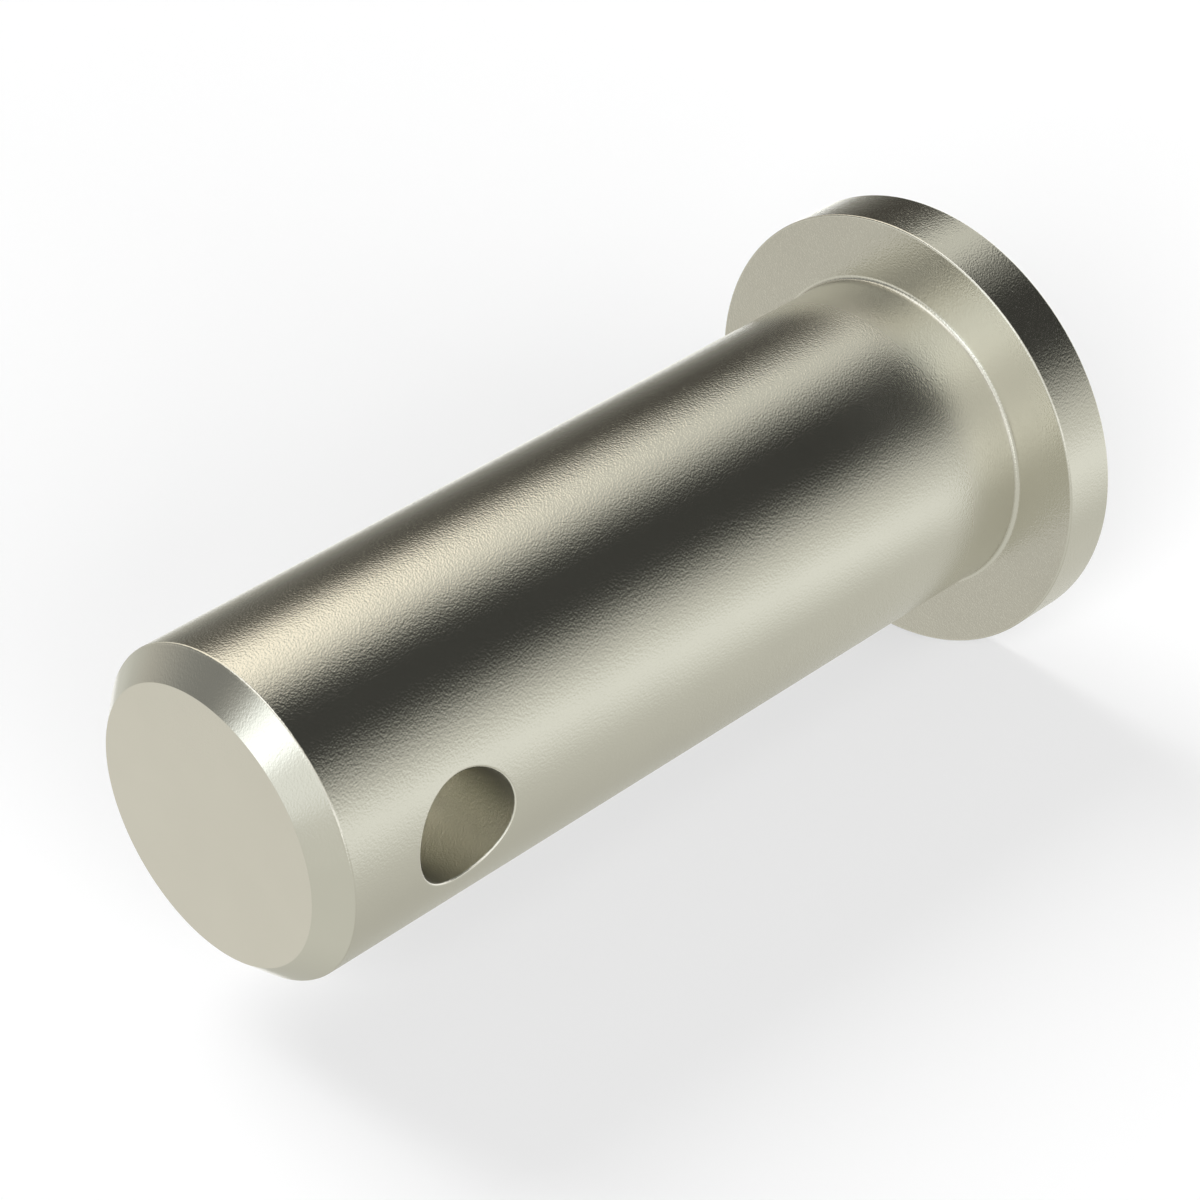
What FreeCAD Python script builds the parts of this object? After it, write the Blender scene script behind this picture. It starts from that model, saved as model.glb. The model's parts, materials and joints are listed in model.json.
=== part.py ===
import FreeCAD, Part

import math
import os

import Sketcher

# Clevis pin: one turned steel piece, with a thin flat head, a plain shank, a chamfered point
# and a cross hole near the point for a cotter pin.
# It stands on its head. Z runs up the pin's axis, from the middle of the head's back face, and
# the cross hole runs along Y.

# The driving dimensions, in millimetres, as (alias, size, meaning).
DIMENSIONS = [
    ("shank_diameter", 7.9, "outside of the shank"),
    ("head_diameter", 11.18, "outside of the head"),
    ("head_thickness", 1.4, "back of the head to its seat"),
    ("length_under_head", 21.6, "seat of the head to the flat of the point"),
    ("point_chamfer", 0.63, "chamfer of the point at 45 degrees, along and across"),
    ("hole_diameter", 2.7, "cross hole"),
    ("hole_to_point", 3.8, "middle of the cross hole to the flat of the point"),
    ("under_head_fillet", 0.12, "radius in the corner of shank and seat"),
    ("shoulder_radius", 0.08, "radius where the chamfer of the point meets the shank"),
    ("edge_break", 0.05, "radius on the head's edges and the hole's mouths"),
]

# Two sizes closer than this, in millimetres, are the same.
SAME_SIZE = 1e-4

PARTS_FOLDER = "parts"


def make_sheet(doc):
    """The spreadsheet that holds the driving dimensions, one row each."""
    sheet = doc.addObject("Spreadsheet::Sheet", "dims")
    for row, (alias, size, meaning) in enumerate(DIMENSIONS, 1):
        sheet.set(f"A{row}", meaning)
        sheet.set(f"B{row}", str(size))
        sheet.setAlias(f"B{row}", alias)
    doc.recompute()
    return sheet


def origin_part(body, role):
    """The plane or axis of the body's own origin that has this role."""
    return next(part for part in body.Origin.OriginFeatures if part.Role == role)


def new_sketch(body, name, plane):
    """An empty sketch on one of the body's origin planes."""
    sketch = body.newObject("Sketcher::SketchObject", name)
    sketch.AttachmentSupport = (origin_part(body, plane), [""])
    sketch.MapMode = "FlatFace"
    return sketch


def size_constraint(sketch, kind, places, name, expression):
    """A named dimension of the sketch that follows an expression of the sheet's cells."""
    start = sketch.evalExpression(expression)
    index = sketch.addConstraint(Sketcher.Constraint(kind, *places, float(start)))
    sketch.renameConstraint(index, name)
    sketch.setExpression(f"Constraints.{name}", expression)


def add_blank(body, sheet):
    """The head and the shank, turned from one half section about the Z axis."""
    sketch = new_sketch(body, "half_section", "XZ_Plane")
    head_radius = sheet.head_diameter / 2
    shank_radius = sheet.shank_diameter / 2
    seat = sheet.head_thickness
    point = seat + sheet.length_under_head
    corners = [
        (0, 0),
        (head_radius, 0),
        (head_radius, seat),
        (shank_radius, seat),
        (shank_radius, point),
        (0, point),
    ]
    count = len(corners)
    vectors = [FreeCAD.Vector(x, z, 0) for x, z in corners]
    for n in range(count):
        sketch.addGeometry(Part.LineSegment(vectors[n], vectors[(n + 1) % count]), False)
        level = abs(corners[n][1] - corners[(n + 1) % count][1]) < SAME_SIZE
        sketch.addConstraint(Sketcher.Constraint("Horizontal" if level else "Vertical", n))
    start_point, end_point, origin = 1, 2, (-1, 1)
    for n in range(count):
        sketch.addConstraint(
            Sketcher.Constraint("Coincident", n, end_point, (n + 1) % count, start_point)
        )
    sketch.addConstraint(Sketcher.Constraint("Coincident", 0, start_point, *origin))
    back, rim, shank = 0, 1, 3
    size_constraint(
        sketch, "DistanceX", (back, start_point, back, end_point), "head_radius", "dims.head_diameter / 2"
    )
    size_constraint(
        sketch, "DistanceY", (rim, start_point, rim, end_point), "head_height", "dims.head_thickness"
    )
    size_constraint(
        sketch, "DistanceX", (*origin, shank, start_point), "shank_radius", "dims.shank_diameter / 2"
    )
    size_constraint(
        sketch, "DistanceY", (shank, start_point, shank, end_point), "shank_length", "dims.length_under_head"
    )
    blank = body.newObject("PartDesign::Revolution", "blank")
    blank.Profile = sketch
    blank.ReferenceAxis = (sketch, ["V_Axis"])
    blank.Angle = 360
    body.Document.recompute()
    return blank


def edges_of(feature, wanted):
    """The names of the feature's edges that pass the test, for a dressing feature's base."""
    names = [f"Edge{n}" for n, edge in enumerate(feature.Shape.Edges, 1) if wanted(edge)]
    if not names:
        raise ValueError(f"{feature.Name} has no edge to dress")
    return names


def is_ring(radius, height):
    """A test for a circle of this radius about the Z axis, at this height."""

    def test(edge):
        curve = edge.Curve
        return (
            isinstance(curve, Part.Circle)
            and abs(curve.Radius - radius) < SAME_SIZE
            and abs(curve.Center.z - height) < SAME_SIZE
        )

    return test


def is_hole_mouth(shank_radius, hole_radius, height):
    """A test for an edge where the cross hole, along Y at this height, meets the shank."""

    def test(edge):
        middle = edge.valueAt((edge.FirstParameter + edge.LastParameter) / 2)
        on_shank = abs(math.hypot(middle.x, middle.y) - shank_radius) < SAME_SIZE
        on_hole = abs(math.hypot(middle.x, middle.z - height) - hole_radius) < SAME_SIZE
        return on_shank and on_hole

    return test


def dress(body, kind, name, base, wanted, size_property, alias):
    """A chamfer or fillet on the base's edges that pass the test, sized by one cell."""
    feature = body.newObject(kind, name)
    feature.Base = (base, edges_of(base, wanted))
    feature.setExpression(size_property, f"dims.{alias}")
    body.Document.recompute()
    return feature


def add_cross_hole(body, before):
    """The hole for the cotter pin, drilled right through the shank along Y."""
    sketch = new_sketch(body, "hole_section", "XZ_Plane")
    height = "dims.head_thickness + dims.length_under_head - dims.hole_to_point"
    centre = FreeCAD.Vector(0, float(sketch.evalExpression(height)), 0)
    radius = float(sketch.evalExpression("dims.hole_diameter / 2"))
    circle = sketch.addGeometry(Part.Circle(centre, FreeCAD.Vector(0, 0, 1), radius), False)
    centre_point, origin, vertical_axis = 3, (-1, 1), -2
    sketch.addConstraint(
        Sketcher.Constraint("PointOnObject", circle, centre_point, vertical_axis)
    )
    size_constraint(sketch, "DistanceY", (*origin, circle, centre_point), "hole_height", height)
    size_constraint(sketch, "Radius", (circle,), "hole_radius", "dims.hole_diameter / 2")
    hole = body.newObject("PartDesign::Pocket", "cross_hole")
    hole.Profile = sketch
    hole.Type = "ThroughAll"
    hole.SideType = "Symmetric"
    body.Document.recompute()
    if not hole.Shape.Volume < before.Shape.Volume:
        raise ValueError("the cross hole cuts nothing")
    return hole


def make_pin(doc, sheet):
    """The whole pin, as one body."""
    body = doc.addObject("PartDesign::Body", "clevis_pin")
    body.Label = "clevis_pin"
    head_radius = sheet.head_diameter / 2
    shank_radius = sheet.shank_diameter / 2
    hole_radius = sheet.hole_diameter / 2
    seat = sheet.head_thickness
    point = seat + sheet.length_under_head
    shoulder = point - sheet.point_chamfer
    hole_height = point - sheet.hole_to_point

    blank = add_blank(body, sheet)
    chamfer, fillet = "PartDesign::Chamfer", "PartDesign::Fillet"
    pointed = dress(
        body, chamfer, "point", blank, is_ring(shank_radius, point), "Size", "point_chamfer"
    )
    necked = dress(
        body, fillet, "neck", pointed, is_ring(shank_radius, seat), "Radius", "under_head_fillet"
    )
    drilled = add_cross_hole(body, necked)
    broken_edges = [
        ("back_edge", is_ring(head_radius, 0), "edge_break"),
        ("front_edge", is_ring(head_radius, seat), "edge_break"),
        ("shoulder_edge", is_ring(shank_radius, shoulder), "shoulder_radius"),
        ("mouth_edges", is_hole_mouth(shank_radius, hole_radius, hole_height), "edge_break"),
    ]
    last = drilled
    for name, wanted, alias in broken_edges:
        last = dress(body, fillet, name, last, wanted, "Radius", alias)
    body.Tip = last
    doc.recompute()
    return body


def check(doc, bodies):
    """Stops the script where a feature failed or a body isn't one sound solid."""
    for item in doc.Objects:
        if "Invalid" in item.State or "Error" in item.State:
            raise ValueError(f"{item.Name} failed: {item.State}")
    for body in bodies:
        shape = body.Shape
        if shape.isNull() or not shape.isValid() or len(shape.Solids) != 1:
            raise ValueError(f"{body.Label} isn't one sound solid")


def main():
    doc = FreeCAD.newDocument("clevis_pin")
    sheet = make_sheet(doc)
    bodies = [make_pin(doc, sheet)]
    check(doc, bodies)
    os.makedirs(PARTS_FOLDER, exist_ok=True)
    for body in bodies:
        body.Shape.exportStep(os.path.join(PARTS_FOLDER, f"{body.Label}.step"))
        box = body.Shape.optimalBoundingBox(True, False)
        print(f"{body.Label}: {box.XLength:.2f} x {box.YLength:.2f} x {box.ZLength:.2f} mm,")
        print(f"  {body.Shape.Volume:.1f} cubic mm, {len(body.Shape.Faces)} faces")


main()
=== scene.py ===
"""Looks of the clevis pin: its turned steel surface, the metal's finish and a plain studio.

The pin stands on its head with Z along its axis, and its cross hole runs along Y.
"""

import json
import math

import bpy
import numpy as np
from mathutils import Matrix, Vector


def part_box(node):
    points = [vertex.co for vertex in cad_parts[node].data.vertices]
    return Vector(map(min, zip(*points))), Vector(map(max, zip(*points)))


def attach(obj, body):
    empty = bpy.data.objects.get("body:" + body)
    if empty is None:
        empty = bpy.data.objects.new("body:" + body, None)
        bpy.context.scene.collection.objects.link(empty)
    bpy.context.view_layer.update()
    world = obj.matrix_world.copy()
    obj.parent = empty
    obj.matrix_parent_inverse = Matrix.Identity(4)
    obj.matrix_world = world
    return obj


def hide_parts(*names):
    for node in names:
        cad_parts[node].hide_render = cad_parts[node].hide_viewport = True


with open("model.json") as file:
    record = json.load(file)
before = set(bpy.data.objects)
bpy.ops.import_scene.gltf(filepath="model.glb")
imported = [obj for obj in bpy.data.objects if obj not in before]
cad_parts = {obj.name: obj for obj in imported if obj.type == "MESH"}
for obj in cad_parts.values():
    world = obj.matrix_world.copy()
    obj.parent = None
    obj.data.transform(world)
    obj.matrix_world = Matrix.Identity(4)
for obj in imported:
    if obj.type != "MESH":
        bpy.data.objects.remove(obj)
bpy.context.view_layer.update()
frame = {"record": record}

bl_info = {
    "name": "Clevis Pin",
    "version": (1, 0, 0),
    "blender": (4, 5, 0),
    "location": "3D View > Sidebar > Clevis Pin",
    "description": "Builds a headed clevis pin with a cross hole, its satin finish and its studio",
    "category": "Object",
}

NODE = "clevis_pin"
BODY = "root"

LOW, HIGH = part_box(NODE)
MOUNTS = {mount["name"]: mount for mount in frame["record"]["mounts"]}
MM = 0.001

# The mesh's steps: columns round the pin, columns and rows from the middle of a hole's window to its
# side, rings from the window to the hole's mouth, rings through the hole, and steps in a rounded edge.
COLUMNS = 288
WINDOW = 24
MOUTH_RINGS = 8
WALL_RINGS = 6
EDGE_STEPS = 6
NECK_STEPS = 10

# A window reaches this far above and below the middle of the hole, in radii of the hole.
WINDOW_REACH = 1.55

# The photograph looks along a cube's diagonal, with X up in the picture and Z to the lower left.
CAMERA_RIGHT = np.array([0, -1, -1]) / math.sqrt(2)
CAMERA_UP = np.array([2, 1, -1]) / math.sqrt(6)
CAMERA_BACK = np.array([1, -1, 1]) / math.sqrt(3)


class PinSizes(bpy.types.PropertyGroup):
    """The pin's sizes, which start from the CAD model's."""

    shank_radius: bpy.props.FloatProperty(
        name="Shank radius",
        description="From the axis to the outside of the shank",
        default=MOUNTS["shank"]["dims"]["r_mm"] * MM,
        unit="LENGTH",
    )
    head_radius: bpy.props.FloatProperty(
        name="Head radius",
        description="From the axis to the outside of the head",
        default=HIGH.x,
        unit="LENGTH",
    )
    head_thickness: bpy.props.FloatProperty(
        name="Head thickness",
        description="From the head's back to its seat",
        default=MOUNTS["head_seat"]["pos_m"][2],
        unit="LENGTH",
    )
    length: bpy.props.FloatProperty(
        name="Length",
        description="From the head's back to the flat of the point",
        default=HIGH.z,
        unit="LENGTH",
    )
    chamfer: bpy.props.FloatProperty(
        name="Point chamfer",
        description="Chamfer of the point at 45 degrees, along and across",
        default=0.63 * MM,
        unit="LENGTH",
    )
    hole_radius: bpy.props.FloatProperty(
        name="Hole radius",
        description="Radius of the cross hole",
        default=MOUNTS["cross_hole"]["dims"]["r_mm"] * MM,
        unit="LENGTH",
    )
    hole_height: bpy.props.FloatProperty(
        name="Hole height",
        description="From the head's back to the middle of the cross hole",
        default=MOUNTS["cross_hole"]["pos_m"][2],
        unit="LENGTH",
    )
    neck_radius: bpy.props.FloatProperty(
        name="Neck radius",
        description="Radius in the corner of shank and seat",
        default=0.12 * MM,
        unit="LENGTH",
    )
    shoulder_radius: bpy.props.FloatProperty(
        name="Shoulder radius",
        description="Radius where the chamfer of the point meets the shank",
        default=0.08 * MM,
        unit="LENGTH",
    )
    edge_radius: bpy.props.FloatProperty(
        name="Edge radius",
        description="Radius on the head's edges and the hole's mouths",
        default=0.05 * MM,
        unit="LENGTH",
    )
    point_edge_radius: bpy.props.FloatProperty(
        name="Point edge radius",
        description="Radius on the crisp edge of the point's flat",
        default=0.01 * MM,
        unit="LENGTH",
    )


class PinFinish(bpy.types.PropertyGroup):
    """The colour and grain of the plated steel."""

    metal_colour: bpy.props.FloatVectorProperty(
        name="Metal colour",
        description="Warm light grey of the plated steel",
        subtype="COLOR",
        default=(0.69, 0.675, 0.61),
        min=0.0,
        max=1.0,
    )
    roughness: bpy.props.FloatProperty(
        name="Roughness",
        description="How much the metal blurs what it mirrors",
        default=0.145,
        min=0.0,
        max=1.0,
    )
    corner_roughness: bpy.props.FloatProperty(
        name="Corner roughness",
        description="The same on the shank near the head, where the plating is duller",
        default=0.3,
        min=0.0,
        max=1.0,
    )
    corner_reach: bpy.props.FloatProperty(
        name="Corner reach",
        description="How far up the shank the duller plating goes",
        default=6.0 * MM,
        unit="LENGTH",
    )
    bore_roughness: bpy.props.FloatProperty(
        name="Bore roughness",
        description="The same inside the drilled hole",
        default=0.32,
        min=0.0,
        max=1.0,
    )
    # The metal's grey inside the drilled hole, made lighter than the plating as painted light for the light
    # that comes in through the hole's mouths.
    bore_colour_with_painted_light: bpy.props.FloatVectorProperty(
        name="Bore colour",
        description="Lighter grey of the bare metal inside the drilled hole",
        subtype="COLOR",
        default=(0.87, 0.855, 0.78),
        min=0.0,
        max=1.0,
    )
    grain_length: bpy.props.FloatProperty(
        name="Grain length",
        description="Size of one grain along the brushing",
        default=0.064 * MM,
        unit="LENGTH",
    )
    grain_width: bpy.props.FloatProperty(
        name="Grain width",
        description="Size of one grain across the brushing",
        default=0.045 * MM,
        unit="LENGTH",
    )
    grain_depth: bpy.props.FloatProperty(
        name="Grain depth",
        description="Height of the grain above the surface",
        default=0.0065 * MM,
        unit="LENGTH",
    )
    point_grain: bpy.props.FloatProperty(
        name="Point grain",
        description="Share of the grain's height that is left on the smoother point",
        default=0.35,
        min=0.0,
        max=1.0,
    )


class PinStudio(bpy.types.PropertyGroup):
    """The floor, the lamps and the camera."""

    floor_colour: bpy.props.FloatVectorProperty(
        name="Floor colour",
        description="Plain white floor",
        subtype="COLOR",
        default=(0.9, 0.9, 0.9),
        min=0.0,
        max=1.0,
    )
    floor_glow: bpy.props.FloatProperty(
        name="Floor glow",
        description="Share of plain white in the floor that the camera sees, which makes its shadows paler",
        default=0.44,
        min=0.0,
        max=1.0,
    )
    fill_light: bpy.props.FloatProperty(
        name="Fill light",
        description="Strength of the even light that the sky gives the floor",
        default=0.12,
        min=0.0,
    )
    lamp_strength: bpy.props.FloatProperty(
        name="Lamp strength",
        description="Share of their plain strength that the lamps shine at",
        default=1.0,
    )
    lens: bpy.props.FloatProperty(
        name="Focal length",
        description="Focal length on a 36 mm sensor",
        default=108.7,
        subtype="DISTANCE_CAMERA",
    )
    camera_place: bpy.props.FloatVectorProperty(
        name="Camera place",
        description="Where the camera stands",
        subtype="TRANSLATION",
        unit="LENGTH",
        default=(0.04751, -0.04752, 0.05891),
    )


def arc(centre, radius, start, end, steps, side=1):
    """Part of a circle in the half section: the centre plus the radius at evenly spaced angles.

    Each point's normal runs from the centre, or to it where side is -1.
    """
    angle = np.radians(np.linspace(start, end, steps + 1))
    out = np.stack([np.cos(angle), np.sin(angle)], axis=1)
    return np.array(centre) + radius * out, side * out


def half_section(sizes):
    """The pin's outline from the middle of the head's back to the middle of the point.

    Straight runs join arcs that round each corner, and the arc of a 45 degree corner starts at half that
    angle's tangent, in radii, before it. Returns the points (distance from the axis, height), their
    normals and the row that the hole's lower window edge is on.
    """
    shank, head, seat = sizes.shank_radius, sizes.head_radius, sizes.head_thickness
    edge, neck = sizes.edge_radius, sizes.neck_radius
    blunt, crisp = sizes.shoulder_radius, sizes.point_edge_radius
    top, flat = sizes.length, sizes.shank_radius - sizes.chamfer
    shoulder = top - sizes.chamfer
    arc_start = math.tan(math.radians(45 / 2))
    reach = WINDOW_REACH * sizes.hole_radius
    rows = np.linspace(sizes.hole_height - reach, sizes.hole_height + reach, 2 * WINDOW + 1)
    shank_rows = np.stack([np.full(rows.size, shank), rows], axis=1)
    below = [
        (np.array([[0.0, 0.0]]), np.array([[0.0, -1.0]])),
        arc((head - edge, edge), edge, -90, 0, EDGE_STEPS),
        arc((head - edge, seat - edge), edge, 0, 90, EDGE_STEPS),
        arc((shank + neck, seat + neck), neck, 270, 180, NECK_STEPS, side=-1),
    ]
    runs = below + [
        (shank_rows, np.tile([1.0, 0.0], (rows.size, 1))),
        arc((shank - blunt, shoulder - blunt * arc_start), blunt, 0, 45, EDGE_STEPS),
        arc((flat - crisp * arc_start, top - crisp), crisp, 45, 90, EDGE_STEPS),
        (np.array([[0.0, top]]), np.array([[0.0, 1.0]])),
    ]
    first_row = sum(len(points) for points, _ in below)
    points = np.concatenate([points for points, _ in runs])
    normals = np.concatenate([normals for _, normals in runs])
    return points, normals, first_row


def turned(points, normals):
    """The outline carried round the axis: each point at every column's angle, from -Y round by +X.

    Its first and last rows are poles, and one vertex each is kept of them.
    """
    angle = np.radians(-90) + np.arange(COLUMNS) * (2 * np.pi / COLUMNS)
    around = np.stack([np.cos(angle), np.sin(angle)], axis=1)

    def swept(section):
        flat = section[:, None, :1] * around[None]
        up = np.repeat(section[:, None, 1:], COLUMNS, axis=1)
        rows = np.concatenate([flat, up], axis=2)
        return np.concatenate([rows[0, :1], rows[1:-1].reshape(-1, 3), rows[-1, :1]])

    return swept(points), swept(normals)


def grid_index(row, column):
    """The number of a turned vertex: one pole, then full rows of columns that wrap round."""
    return 1 + (row - 1) * COLUMNS + column % COLUMNS


def turned_faces(row_count, first_row):
    """Four-sided faces between rows and columns, and three-sided ones at the two poles.

    The faces inside the hole's two windows are left out.
    """
    row, column = np.meshgrid(np.arange(1, row_count - 2), np.arange(COLUMNS), indexing="ij")
    sides = (column + WINDOW) % (COLUMNS // 2)
    in_window = (row >= first_row) & (row < first_row + 2 * WINDOW) & (sides < 2 * WINDOW)
    row, column = row[~in_window], column[~in_window]
    quads = np.stack(
        [
            grid_index(row, column),
            grid_index(row, column + 1),
            grid_index(row + 1, column + 1),
            grid_index(row + 1, column),
        ],
        axis=1,
    )
    column = np.arange(COLUMNS)
    last = 1 + (row_count - 2) * COLUMNS
    back = np.stack([0 * column, grid_index(1, column + 1), grid_index(1, column)], axis=1)
    outer = row_count - 2
    front = np.stack([grid_index(outer, column), grid_index(outer, column + 1), 0 * column + last], axis=1)
    return quads, np.concatenate([back, front])


def window_loops(first_row):
    """The vertices on the edges of the two windows, in order round the hole, at -Y and then at +Y."""
    run = np.arange(-WINDOW, WINDOW)
    far = np.full(2 * WINDOW, WINDOW)
    columns = np.concatenate([run, far, -run, -far])
    rows = np.concatenate([-far, run, far, -run]) + first_row + WINDOW
    return grid_index(rows, columns), grid_index(rows, COLUMNS // 2 - columns)


def hole_band(sizes, loop):
    """The surface that runs from one window into the hole and out to the other window.

    A ball of the edge's radius rolls inside the corner of shank and hole. Its middle lies on both a
    shank smaller and a hole larger by that radius. Rings on the shank run in to where the ball touches
    it, rings on the ball turn from the shank's normal to the hole's, and straight walls join the two
    sides. Returns the rings between the two loops, with their normals.
    """
    shank, hole, edge = sizes.shank_radius, sizes.hole_radius, sizes.edge_radius
    across, up = loop[:, 0], loop[:, 2] - sizes.hole_height
    angle = np.arctan2(up, across)
    spoke = np.stack([np.cos(angle), 0 * angle, np.sin(angle)], axis=1)
    centre = (hole + edge) * spoke
    centre[:, 1] = -np.sqrt((shank - edge) ** 2 - centre[:, 0] ** 2)
    out = centre * [1, 1, 0] / (shank - edge)

    share = np.linspace(0, 1, MOUTH_RINGS + 1)[1:, None]
    touch_x, touch_z = centre[:, 0] * shank / (shank - edge), centre[:, 2]
    x = across + share * (touch_x - across)
    z = up + share * (touch_z - up)
    y = -np.sqrt(shank**2 - x**2)
    mouth = np.stack([x, y, z], axis=2)
    mouth_normals = mouth * [1, 1, 0] / shank

    turn = np.arccos(np.clip(-np.sum(out * spoke, axis=1), -1, 1))
    share = np.linspace(0, 1, EDGE_STEPS + 1)[1:, None, None]
    from_shank = np.sin((1 - share) * turn[:, None])
    from_hole = np.sin(share * turn[:, None])
    rolled_normals = (from_shank * out - from_hole * spoke) / np.sin(turn)[:, None]
    rolled = centre + edge * rolled_normals

    share = np.linspace(1, -1, WALL_RINGS + 1)[1:-1, None, None]
    wall = rolled[-1] * ([1, 0, 1] + share * [0, 1, 0])
    wall_normals = np.tile(-spoke, (len(wall), 1, 1))

    near = np.concatenate([mouth, rolled])
    near_normals = np.concatenate([mouth_normals, rolled_normals])
    mirror = np.array([1, -1, 1])
    rings = np.concatenate([near, wall, near[::-1] * mirror])
    normals = np.concatenate([near_normals, wall_normals, near_normals[::-1] * mirror])
    return rings + [0, 0, sizes.hole_height], normals


def band_faces(front_loop, back_loop, ring_count, first_vertex):
    """Four-sided faces between each ring of the hole's band and the next, closed round the hole."""
    size = front_loop.size
    inner = first_vertex + np.arange(ring_count * size).reshape(ring_count, size)
    rings = np.concatenate([front_loop[None], inner, back_loop[None]])
    after = np.roll(rings, -1, axis=1)
    quads = np.stack([rings[:-1], after[:-1], after[1:], rings[1:]], axis=2)
    return quads.reshape(-1, 4)


def pin_mesh(sizes):
    """The pin's closed surface: the turned outline with the hole's band let into its two windows."""
    points, section_normals, first_row = half_section(sizes)
    vertices, normals = turned(points, section_normals)
    quads, triangles = turned_faces(len(points), first_row)
    front_loop, back_loop = window_loops(first_row)
    rings, ring_normals = hole_band(sizes, vertices[front_loop])
    band = band_faces(front_loop, back_loop, len(rings), len(vertices))
    vertices = np.concatenate([vertices, rings.reshape(-1, 3)])
    normals = np.concatenate([normals, ring_normals.reshape(-1, 3)])
    quads = np.concatenate([quads, band])

    used = np.zeros(len(vertices), bool)
    used[quads] = True
    used[triangles] = True
    number = np.cumsum(used) - 1
    mesh = bpy.data.meshes.new(NODE)
    faces = number[quads].tolist() + number[triangles].tolist()
    mesh.from_pydata(vertices[used].tolist(), [], faces)
    mesh.polygons.foreach_set("use_smooth", np.ones(len(faces), bool))
    mesh.normals_split_custom_set_from_vertices(normals[used].tolist())
    mesh.update()
    if mesh.validate():
        raise ValueError("the pin's mesh had faults")
    return mesh


# How far apart the nodes of a tree stand.
NODE_GAP = 200

# The sockets of a node that mixes colours: its share, its two colours and its result.
MIX_SHARE, MIX_FIRST, MIX_SECOND, MIX_RESULT = 0, 6, 7, 2


def add_node(tree, kind, place, inputs=None, **settings):
    """A node with its settings, whose inputs are set to values or linked from other nodes' outputs."""
    node = tree.nodes.new(kind)
    node.location = (place[0] * NODE_GAP, -place[1] * NODE_GAP)
    for name, value in settings.items():
        setattr(node, name, value)
    for name, value in (inputs or {}).items():
        if isinstance(value, bpy.types.NodeSocket):
            tree.links.new(value, node.inputs[name])
        else:
            node.inputs[name].default_value = value
    return node


def worked_out(tree, place, operation, *values):
    """The result of a sum on up to three values, which are numbers or other nodes' outputs."""
    return add_node(tree, "ShaderNodeMath", place, dict(enumerate(values)), operation=operation).outputs[0]


def mixed_colour(tree, place, share, first, second):
    """The first colour where the share is 0, and the second where it is 1."""
    inputs = {MIX_SHARE: share, MIX_FIRST: first, MIX_SECOND: second}
    return add_node(tree, "ShaderNodeMix", place, inputs, data_type="RGBA").outputs[MIX_RESULT]


def mixed_shader(tree, place, share, first, second):
    """The first shader where the share is 0, and the second where it is 1."""
    return add_node(tree, "ShaderNodeMixShader", place, {0: share, 1: first, 2: second}).outputs[0]


def new_group(name, inputs, outputs):
    """An empty shader node group with these sockets, as (name, kind), and its two end nodes."""
    group = bpy.data.node_groups.new(name, "ShaderNodeTree")
    for socket_name, kind in inputs:
        group.interface.new_socket(socket_name, in_out="INPUT", socket_type=kind)
    for socket_name, kind in outputs:
        group.interface.new_socket(socket_name, in_out="OUTPUT", socket_type=kind)
    start = add_node(group, "NodeGroupInput", (0, 0))
    end = add_node(group, "NodeGroupOutput", (8, 0))
    return group, start, end


# The way that the surface was brushed, and how finely the grain breaks up.
GRAIN_SLANT = (0.5, 0.5, -math.sqrt(0.5))
GRAIN_DETAIL = {"Detail": 1.5, "Roughness": 0.5}

# The faint clouds of tone: how many there are in a metre and with how much detail, the lowest and the
# highest value of their noise, and the share of the metal's colour that is left at those two.
CLOUDS = {"Scale": 400.0, "Detail": 3.0, "Roughness": 0.6}
CLOUD_RANGE = (0.3, 0.7)
CLOUD_TONES = (0.985, 1.015)


def grain_group():
    """The plated surface's fine grain, as a height and as a faint change of tone.

    The grains are a little longer along one slant, as brushing leaves them: the place's share along it
    is shortened, and the whole is then counted in grain widths.
    """
    number = "NodeSocketFloat"
    group, start, end = new_group(
        "Satin Grain",
        [("Grain Length", number), ("Grain Width", number)],
        [("Height", number), ("Tone", number)],
    )
    given = start.outputs
    place = add_node(group, "ShaderNodeTexCoord", (0, 1))
    along = add_node(
        group,
        "ShaderNodeVectorMath",
        (1, 1),
        {0: place.outputs["Object"], 1: GRAIN_SLANT},
        operation="DOT_PRODUCT",
    )
    share = worked_out(group, (1, 0), "DIVIDE", given["Grain Width"], given["Grain Length"])
    kept = worked_out(group, (2, 0), "SUBTRACT", share, 1.0)
    moved = worked_out(group, (3, 0), "MULTIPLY", kept, along.outputs["Value"])
    slant = add_node(
        group,
        "ShaderNodeVectorMath",
        (4, 0),
        {0: GRAIN_SLANT, "Scale": moved},
        operation="SCALE",
    )
    shortened = add_node(
        group,
        "ShaderNodeVectorMath",
        (5, 0),
        {0: place.outputs["Object"], 1: slant.outputs[0]},
        operation="ADD",
    )
    count = worked_out(group, (5, 1), "DIVIDE", 1.0, given["Grain Width"])
    grain = add_node(
        group,
        "ShaderNodeTexNoise",
        (6, 0),
        {"Vector": shortened.outputs[0], "Scale": count, **GRAIN_DETAIL},
    )
    clouds = add_node(
        group,
        "ShaderNodeTexNoise",
        (2, 2),
        {"Vector": place.outputs["Object"], **CLOUDS},
    )
    group.links.new(grain.outputs["Fac"], end.inputs["Height"])
    group.links.new(clouds.outputs["Fac"], end.inputs["Tone"])
    return group


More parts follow.
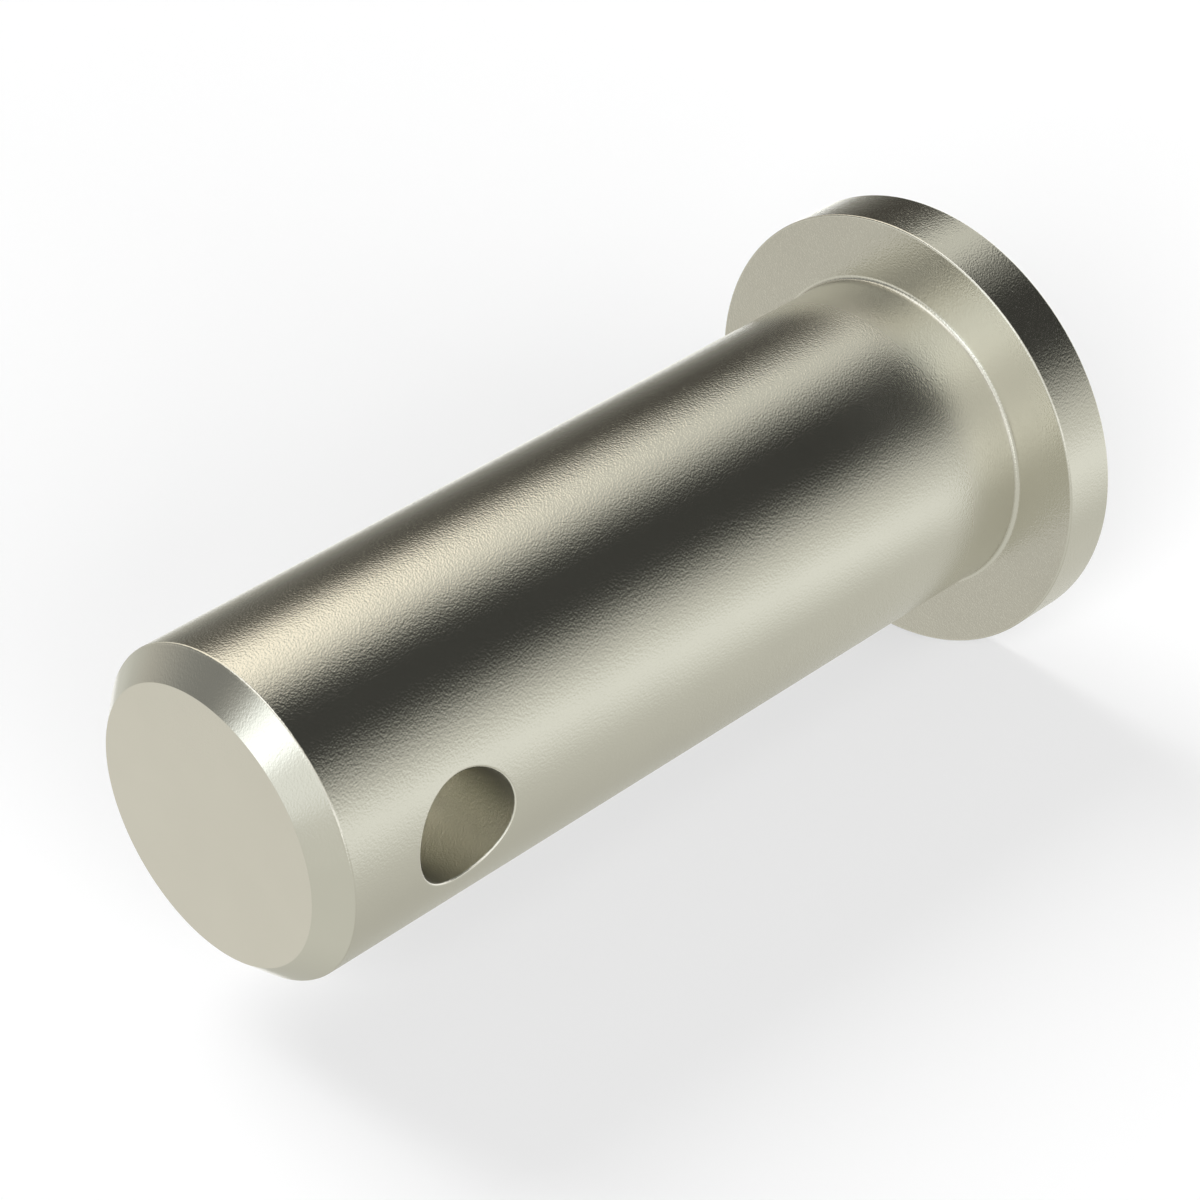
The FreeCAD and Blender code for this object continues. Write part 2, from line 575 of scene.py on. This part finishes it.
def places_group():
    """Masks, from 0 to 1, of the shank near the head, the wall of the cross hole and the point.

    The corner's mask lies on the shank only, and falls off with the height above the seat. The hole's is
    full where the distance from the hole's axis is no more than its radius. The point's is full above
    the shoulder.
    """
    number = "NodeSocketFloat"
    inputs = [
        "Shank Radius",
        "Seat Height",
        "Corner Reach",
        "Hole Radius",
        "Hole Height",
        "Edge Radius",
        "Shoulder Height",
    ]
    group, start, end = new_group(
        "Places",
        [(name, number) for name in inputs],
        [("Corner", number), ("Bore", number), ("Point", number)],
    )
    given = start.outputs
    place = add_node(group, "ShaderNodeTexCoord", (0, 1))
    parts = add_node(group, "ShaderNodeSeparateXYZ", (1, 0), {"Vector": place.outputs["Object"]})

    def distance(row, first, second):
        """The length of a flat vector with these two parts."""
        flat = add_node(group, "ShaderNodeCombineXYZ", (4, row), {"X": first, "Y": second})
        length = add_node(
            group, "ShaderNodeVectorMath", (5, row), {0: flat.outputs[0]}, operation="LENGTH"
        )
        return length.outputs["Value"]

    def mask(row, value, full, none):
        """1 at one bound and past it, falling smoothly to 0 at the other bound and past that."""
        node = add_node(
            group,
            "ShaderNodeMapRange",
            (6, row),
            {"Value": value, "From Min": none, "From Max": full},
            interpolation_type="SMOOTHSTEP",
        )
        return node.outputs["Result"]

    across = distance(0, parts.outputs["X"], parts.outputs["Y"])
    from_shank = worked_out(group, (3, 1), "SUBTRACT", across, given["Shank Radius"])
    from_seat = worked_out(group, (3, 2), "SUBTRACT", parts.outputs["Z"], given["Seat Height"])
    near = mask(1, from_seat, 0.0, given["Corner Reach"])
    beside = mask(2, from_shank, 0.0, given["Edge Radius"])
    corner = worked_out(group, (7, 1), "MULTIPLY", near, beside)
    from_middle = worked_out(group, (3, 3), "SUBTRACT", parts.outputs["Z"], given["Hole Height"])
    from_axis = distance(3, parts.outputs["X"], from_middle)
    mouth = worked_out(group, (5, 4), "ADD", given["Hole Radius"], given["Edge Radius"])
    bore = mask(3, from_axis, given["Hole Radius"], mouth)
    over = worked_out(group, (5, 6), "ADD", given["Shoulder Height"], given["Edge Radius"])
    point = mask(5, parts.outputs["Z"], over, given["Shoulder Height"])
    group.links.new(corner, end.inputs["Corner"])
    group.links.new(bore, end.inputs["Bore"])
    group.links.new(point, end.inputs["Point"])
    return group


def pin_material(finish, sizes):
    """Plated steel: a satin metal whose grain shows where bright and dark reflections meet."""
    material = bpy.data.materials.new("Plated Steel")
    material.use_nodes = True
    tree = material.node_tree
    tree.nodes.clear()
    grain_sizes = {"Grain Length": finish.grain_length, "Grain Width": finish.grain_width}
    grain = add_node(tree, "ShaderNodeGroup", (0, 0), grain_sizes, node_tree=grain_group())
    place_values = {
        "Shank Radius": sizes.shank_radius,
        "Seat Height": sizes.head_thickness,
        "Corner Reach": finish.corner_reach,
        "Hole Radius": sizes.hole_radius,
        "Hole Height": sizes.hole_height,
        "Edge Radius": sizes.edge_radius,
        "Shoulder Height": sizes.length - sizes.chamfer,
    }
    places = add_node(tree, "ShaderNodeGroup", (0, 3), place_values, node_tree=places_group())

    def mapped(place, value, to_low, to_high, from_low=0.0, from_high=1.0):
        """A value carried from one range to another."""
        inputs = {"Value": value, "From Min": from_low, "From Max": from_high}
        inputs.update({"To Min": to_low, "To Max": to_high})
        return add_node(tree, "ShaderNodeMapRange", place, inputs).outputs["Result"]

    tone = mapped((1, 0), grain.outputs["Tone"], *CLOUD_TONES, *CLOUD_RANGE)
    smoothed = mapped((1, 1), places.outputs["Point"], 1.0, finish.point_grain)
    height = worked_out(tree, (2, 1), "MULTIPLY", grain.outputs["Height"], smoothed)
    bump = add_node(
        tree,
        "ShaderNodeBump",
        (3, 1),
        {"Strength": 1.0, "Distance": finish.grain_depth, "Height": height},
    )
    # Inside the hole the colour is the metal's grey, made lighter as painted light for the light that comes
    # in through the hole.
    plated, light_painted = (*finish.metal_colour, 1.0), (*finish.bore_colour_with_painted_light, 1.0)
    metal = mixed_colour(tree, (1, 2), places.outputs["Bore"], plated, light_painted)
    colour = add_node(
        tree,
        "ShaderNodeVectorMath",
        (2, 0),
        {0: metal, 1: tone},
        operation="MULTIPLY",
    )
    cornered = mapped((1, 3), places.outputs["Corner"], finish.roughness, finish.corner_roughness)
    bored = mapped((2, 3), places.outputs["Bore"], cornered, finish.bore_roughness)
    shader = add_node(
        tree,
        "ShaderNodeBsdfPrincipled",
        (4, 0),
        {
            "Base Color": colour.outputs[0],
            "Metallic": 1.0,
            "Roughness": bored,
            "Normal": bump.outputs["Normal"],
        },
    )
    end = add_node(tree, "ShaderNodeOutputMaterial", (5, 0))
    tree.links.new(shader.outputs[0], end.inputs["Surface"])
    return material


WHITE = (1.0, 1.0, 1.0, 1.0)

# Half a turn, in degrees, and a reach or elevation that is past every direction, so that a panel has
# no edge there.
HALF_TURN = 180.0
OPEN = 400

# The light of the sky round the pin where no panel is.
SURROUND = (0.719, 0.719, 0.655)

# The soft-edged panels on that sky that the metal mirrors, each laid over those before it. Each row is
# a name, the azimuth of its middle at the horizon, how far that turns with each degree of elevation, its
# reach to either side, the softness of those two edges, its lowest and highest elevation, the softness
# of those, all in degrees, and its light.
PANELS = [
    ("Grey wall", 170, 1, 28.4, 77.5, 6.8, 85, -OPEN, 2.5, 20, 40.7, (0.567, 0.561, 0.502)),
    ("Side light", -61.4, 1.19, 6.9, 12.5, 55.8, 30.2, -OPEN, 23.9, 20, 30, (1.123, 1.138, 1.079)),
    ("Dark card", -2.5, 0.7, 35, 32.7, 43.2, 40, -OPEN, 0.3, 20, 37, (0.055, 0.056, 0.052)),
    ("Warm light", 45.8, 0.45, 15.5, 39.2, 42.5, 46.2, -33.2, 16.5, 4.1, 44.8, (1.475, 1.378, 1.185)),
    ("Second card", 95, 0.57, 25.6, 33.4, 27.6, 74.5, -OPEN, -20.4, 20, 25.1, (0.095, 0.09, 0.078)),
    ("Back step", 112, 0, 8, 10, 8, 6, -32, -20, 6, 8, (0.5, 0.49, 0.43)),
    ("Backdrop", 150.5, 0.8, 9.4, 9.4, 6, 4, -55, -28, 10, 4, (1.17, 1.17, 1.13)),
    ("Low backdrop", 126, 0, 7.5, 6, 3, 6, -55, -40, 10, 2, (1.6, 1.6, 1.55)),
    ("Back strip", 139, 0.35, 11.2, 13.2, 6, 3, -28, -13, 4, 6, (1.07, 1.07, 1.04)),
    ("Low wall", 178, 0, 40, 34, 12, 20, -OPEN, -39, 20, 6, (0.72, 0.715, 0.65)),
    ("Low shade", -26, 0, 20, 20, 16, 16, -OPEN, -40.5, 20, 2, (0.045, 0.045, 0.041)),
    ("Low card", 2, 0, 8, 10, 14, 20, -OPEN, -43.5, 20, 6, (0.08, 0.08, 0.073)),
    ("Low corner", 60, 0, 17, 20, 10, 24, -OPEN, -39.5, 20, 4, (0.06, 0.057, 0.05)),
    ("Horizon light", -15, 0, 70, 44, 40, 26, -6, 24, 16, 14, (1.7, 1.7, 1.7)),
    ("End card", -45, 0, 30, 30, 14, 14, -6, 16, 8, 8, (0.62, 0.61, 0.55)),
    ("Cool light", -55, 0, 38, 60, 24, 30, 32, 52, 10, 8, (0.98, 0.99, 0.96)),
    ("Left light", -87, 0, 20, 12, 30, 24, 32, 45, 10, 5, (1.6, 1.62, 1.56)),
    ("Middle light", -28, 0, 9, 9, 16, 16, 32, 52, 10, 8, (1.45, 1.47, 1.42)),
    ("Warm spot", 24, 0, 12, 16, 14, 10, 34, 42, 8, 2, (1.45, 1.4, 1.2)),
    ("High light", -65, 0, 19.4, 38.3, 24.9, 25, 57, OPEN, 8.1, 20, (1.034, 1.06, 1.022)),
    ("Overhead light", -5, 0, 22.2, 27.6, 26.7, 48.2, 46.3, OPEN, 23.3, 20, (1.7, 1.782, 1.794)),
    ("Shade", 78.9, -0.86, 19.4, 25.4, 18.7, 42.5, -0.4, 50.6, 29.4, 19.5, (0.262, 0.263, 0.249)),
    ("Back light", 88, 0, 28, 28, 14, 14, 48, OPEN, 8, 20, (0.9, 0.89, 0.83)),
    ("Seat wall", 132, 0, 17, 30, 12, 16, 35, 52, 4, 10, (0.6, 0.59, 0.535)),
    ("Front light", 135, 0, 24, 24, 16, 16, 16, 33, 10, 8, (0.83, 0.81, 0.745)),
    ("White floor", 0, 0, OPEN, OPEN, 20, 20, -OPEN, -58, 20, 6, (1.15, 1.15, 1.12)),
    ("Back floor", 90, 0, 30, 30, 20, 20, -OPEN, -50, 20, 5, (1.4, 1.38, 1.3)),
]

# The sockets that a row's numbers go into, in order.
PANEL_VALUES = [
    "Middle",
    "Lean",
    "Reach Before",
    "Reach After",
    "Soft Before",
    "Soft After",
    "Lowest",
    "Highest",
    "Soft Below",
    "Soft Above",
]


def soft_step(tree, place, value, middle, soft):
    """A smooth climb from 0 to 1, as wide as the softness, with its half way at the middle."""
    column, row = place
    half = worked_out(tree, place, "MULTIPLY", soft, 0.5)
    start = worked_out(tree, (column + 1, row), "SUBTRACT", middle, half)
    stop = worked_out(tree, (column + 1, row + 1), "ADD", middle, half)
    climb = add_node(
        tree,
        "ShaderNodeMapRange",
        (column + 2, row),
        {"Value": value, "From Min": start, "From Max": stop},
        interpolation_type="SMOOTHSTEP",
    )
    return climb.outputs["Result"]


def panel_group():
    """One soft-edged panel on the sky, laid over what is behind it."""
    number, colour = "NodeSocketFloat", "NodeSocketColor"
    inputs = [("Behind", colour), ("Light", colour), ("Azimuth", number), ("Elevation", number)]
    inputs += [(name, number) for name in PANEL_VALUES]
    group, start, end = new_group("Studio Panel", inputs, [("Light", colour)])
    given = start.outputs
    middle = worked_out(group, (0, 2), "MULTIPLY_ADD", given["Elevation"], given["Lean"], given["Middle"])
    turn = worked_out(group, (1, 0), "SUBTRACT", given["Azimuth"], middle)
    away = worked_out(group, (2, 0), "WRAP", turn, HALF_TURN, -HALF_TURN)

    def minus(row, value):
        """The same value with the other sign."""
        return worked_out(group, (2, row), "MULTIPLY", value, -1.0)

    rise = given["Elevation"]
    edges = [
        soft_step(group, (3, 0), away, minus(3, given["Reach Before"]), given["Soft Before"]),
        soft_step(group, (3, 2), minus(1, away), minus(4, given["Reach After"]), given["Soft After"]),
        soft_step(group, (3, 4), rise, given["Lowest"], given["Soft Below"]),
        soft_step(group, (3, 6), minus(2, rise), minus(5, given["Highest"]), given["Soft Above"]),
    ]
    cover = edges[0]
    for step, edge in enumerate(edges[1:]):
        cover = worked_out(group, (6, step), "MULTIPLY", cover, edge)
    laid = mixed_colour(group, (7, 0), cover, given["Behind"], given["Light"])
    group.links.new(laid, end.inputs["Light"])
    return group


def studio_world(studio):
    """The sky: panels for the metal to mirror, a dim even light on the floor, and white to the camera."""
    world = bpy.data.worlds.new("Pin Studio")
    world.use_nodes = True
    tree = world.node_tree
    tree.nodes.clear()
    place = add_node(tree, "ShaderNodeTexCoord", (0, 0))
    parts = add_node(tree, "ShaderNodeSeparateXYZ", (1, 0), {"Vector": place.outputs["Generated"]})
    heading = worked_out(tree, (2, 0), "ARCTAN2", parts.outputs["Y"], parts.outputs["X"])
    rise = worked_out(tree, (2, 1), "ARCSINE", parts.outputs["Z"])
    azimuth = worked_out(tree, (3, 0), "DEGREES", heading)
    elevation = worked_out(tree, (3, 1), "DEGREES", rise)
    group = panel_group()
    behind = (*SURROUND, 1.0)
    for step, (name, *values, light) in enumerate(PANELS):
        inputs = {"Behind": behind, "Light": (*light, 1.0), "Azimuth": azimuth, "Elevation": elevation}
        inputs.update(zip(PANEL_VALUES, values))
        panel = add_node(tree, "ShaderNodeGroup", (4 + step, 0), inputs, node_tree=group, label=name)
        behind = panel.outputs["Light"]
    end_column = 5 + len(PANELS)

    def background(row, light, strength):
        """One of the sky's lights, at this strength."""
        inputs = {"Color": light, "Strength": strength}
        return add_node(tree, "ShaderNodeBackground", (end_column, row), inputs).outputs[0]

    panels = background(0, behind, 1.0)
    dim = background(1, WHITE, studio.fill_light)
    white = background(2, WHITE, 1.0)
    rays = add_node(tree, "ShaderNodeLightPath", (end_column, 3)).outputs
    lit = mixed_shader(tree, (end_column + 1, 0), rays["Diffuse Depth"], panels, dim)
    seen = mixed_shader(tree, (end_column + 2, 0), rays["Is Camera Ray"], lit, white)
    end = add_node(tree, "ShaderNodeOutputWorld", (end_column + 3, 0))
    tree.links.new(seen, end.inputs["Surface"])
    return world


def floor_material(studio):
    """White floor: a matt surface that keeps the shadow, with a share of plain white for the camera.

    It is seen from its front only, so that the pin can be looked at from behind it.
    """
    material = bpy.data.materials.new("White Floor")
    material.use_nodes = True
    tree = material.node_tree
    tree.nodes.clear()
    matt = add_node(tree, "ShaderNodeBsdfDiffuse", (0, 0), {"Color": (*studio.floor_colour, 1.0)})
    white = add_node(tree, "ShaderNodeEmission", (0, 1), {"Color": WHITE, "Strength": 1.0})
    rays = add_node(tree, "ShaderNodeLightPath", (0, 2))
    share = worked_out(tree, (1, 1), "MULTIPLY", rays.outputs["Is Camera Ray"], studio.floor_glow)
    front = mixed_shader(tree, (2, 0), share, matt.outputs[0], white.outputs[0])
    side = add_node(tree, "ShaderNodeNewGeometry", (2, 1))
    clear = add_node(tree, "ShaderNodeBsdfTransparent", (2, 2))
    faced = mixed_shader(tree, (3, 0), side.outputs["Backfacing"], front, clear.outputs[0])
    end = add_node(tree, "ShaderNodeOutputMaterial", (4, 0))
    tree.links.new(faced, end.inputs["Surface"])
    return material


# The floor is a square with this half width, in metres, and its gap to the head.
FLOOR_REACH = 1.5
FLOOR_GAP = 0.01 * MM

# The soft lamps, as a name, the way to the lamp, how wide it looks in degrees and its strength.
LAMPS = [
    ("high lamp", (0.689, 0.724, 0.011), 33, 1.9),
    ("front lamp", (0.476, -0.405, 0.781), 27, 2.25),
    ("low lamp", (0.191, -0.92, 0.343), 46, 3.65),
]


def floor(studio):
    """The photograph's floor: a square that the head's rim touches, as in a pin that lies on its side.

    The photograph has X up, so the square stands along the pin at the head's lowest X.
    """
    corners = FLOOR_REACH * np.array([[0, -1, -1], [0, 1, -1], [0, 1, 1], [0, -1, 1]])
    corners[:, 0] = LOW.x - FLOOR_GAP
    mesh = bpy.data.meshes.new("floor")
    mesh.from_pydata(corners.tolist(), [], [(0, 1, 2, 3)])
    mesh.materials.append(floor_material(studio))
    piece = bpy.data.objects.new("floor", mesh)
    bpy.context.scene.collection.objects.link(piece)
    piece.visible_glossy = False


def aimed(place, right, up, back):
    """A camera's or lamp's place: its right, up and back as columns, and where it stands."""
    matrix = np.eye(4)
    matrix[:3] = np.stack([right, up, back, place], axis=1)
    return Matrix(matrix.tolist())


def shadow_lamps(studio):
    """Wide, far lamps that throw the pin's soft shadows."""
    for name, way, width, strength in LAMPS:
        away = np.array(way) / np.linalg.norm(way)
        right = np.cross([0, 0, 1], away)
        right /= np.linalg.norm(right)
        lamp = bpy.data.lights.new(name, "SUN")
        lamp.energy = strength * studio.lamp_strength
        lamp.angle = math.radians(width)
        piece = bpy.data.objects.new(name, lamp)
        piece.matrix_world = aimed(away, right, np.cross(away, right), away)
        bpy.context.scene.collection.objects.link(piece)
        piece.visible_glossy = False


# The camera's sensor, in millimetres, and the nearest and farthest that it sees, in metres.
SENSOR_WIDTH = 36.0
CLIP = (0.001, 10.0)


def photo_camera(studio):
    """The camera, which looks along a cube's diagonal as in the photograph."""
    data = bpy.data.cameras.new("camera")
    data.lens = studio.lens
    data.sensor_width = SENSOR_WIDTH
    data.clip_start, data.clip_end = CLIP
    camera = bpy.data.objects.new("camera", data)
    camera.matrix_world = aimed(studio.camera_place, CAMERA_RIGHT, CAMERA_UP, CAMERA_BACK)
    bpy.context.scene.collection.objects.link(camera)
    bpy.context.scene.camera = camera


class MESH_OT_clevis_pin(bpy.types.Operator):
    """Builds the pin's turned and drilled surface, with its plated finish"""

    bl_idname = "mesh.clevis_pin"
    bl_label = "Build the Clevis Pin"

    def execute(self, context):
        mesh = pin_mesh(context.scene.pin_sizes)
        mesh.materials.append(pin_material(context.scene.pin_finish, context.scene.pin_sizes))
        piece = bpy.data.objects.new("pin", mesh)
        context.scene.collection.objects.link(piece)
        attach(piece, BODY)
        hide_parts(NODE)
        return {"FINISHED"}


class SCENE_OT_pin_studio(bpy.types.Operator):
    """Sets up the floor, the sky with its light panels, the lamps and the camera"""

    bl_idname = "scene.pin_studio"
    bl_label = "Set Up the Studio"

    def execute(self, context):
        studio = context.scene.pin_studio
        context.scene.world = studio_world(studio)
        context.scene.view_settings.view_transform = "Standard"
        floor(studio)
        shadow_lamps(studio)
        photo_camera(studio)
        return {"FINISHED"}


class VIEW3D_PT_clevis_pin(bpy.types.Panel):
    """Sidebar panel with the pin's sizes, its finish and its studio"""

    bl_idname = "VIEW3D_PT_clevis_pin"
    bl_label = "Clevis Pin"
    bl_space_type = "VIEW_3D"
    bl_region_type = "UI"
    bl_category = "Clevis Pin"

    def draw(self, context):
        for group, operator in (
            (context.scene.pin_sizes, None),
            (context.scene.pin_finish, MESH_OT_clevis_pin),
            (context.scene.pin_studio, SCENE_OT_pin_studio),
        ):
            box = self.layout.box()
            for name in group.bl_rna.properties.keys():
                if name not in ("rna_type", "name"):
                    box.prop(group, name)
            if operator:
                box.operator(operator.bl_idname)


SETTINGS = {"pin_sizes": PinSizes, "pin_finish": PinFinish, "pin_studio": PinStudio}
CLASSES = (*SETTINGS.values(), MESH_OT_clevis_pin, SCENE_OT_pin_studio, VIEW3D_PT_clevis_pin)


def register():
    for cls in CLASSES:
        bpy.utils.register_class(cls)
    for name, group in SETTINGS.items():
        setattr(bpy.types.Scene, name, bpy.props.PointerProperty(type=group))


def unregister():
    for name in SETTINGS:
        delattr(bpy.types.Scene, name)
    for cls in reversed(CLASSES):
        bpy.utils.unregister_class(cls)


def main():
    """Builds the pin and its studio."""
    register()
    bpy.ops.mesh.clevis_pin()
    bpy.ops.scene.pin_studio()


if __name__ == "__main__":
    main()
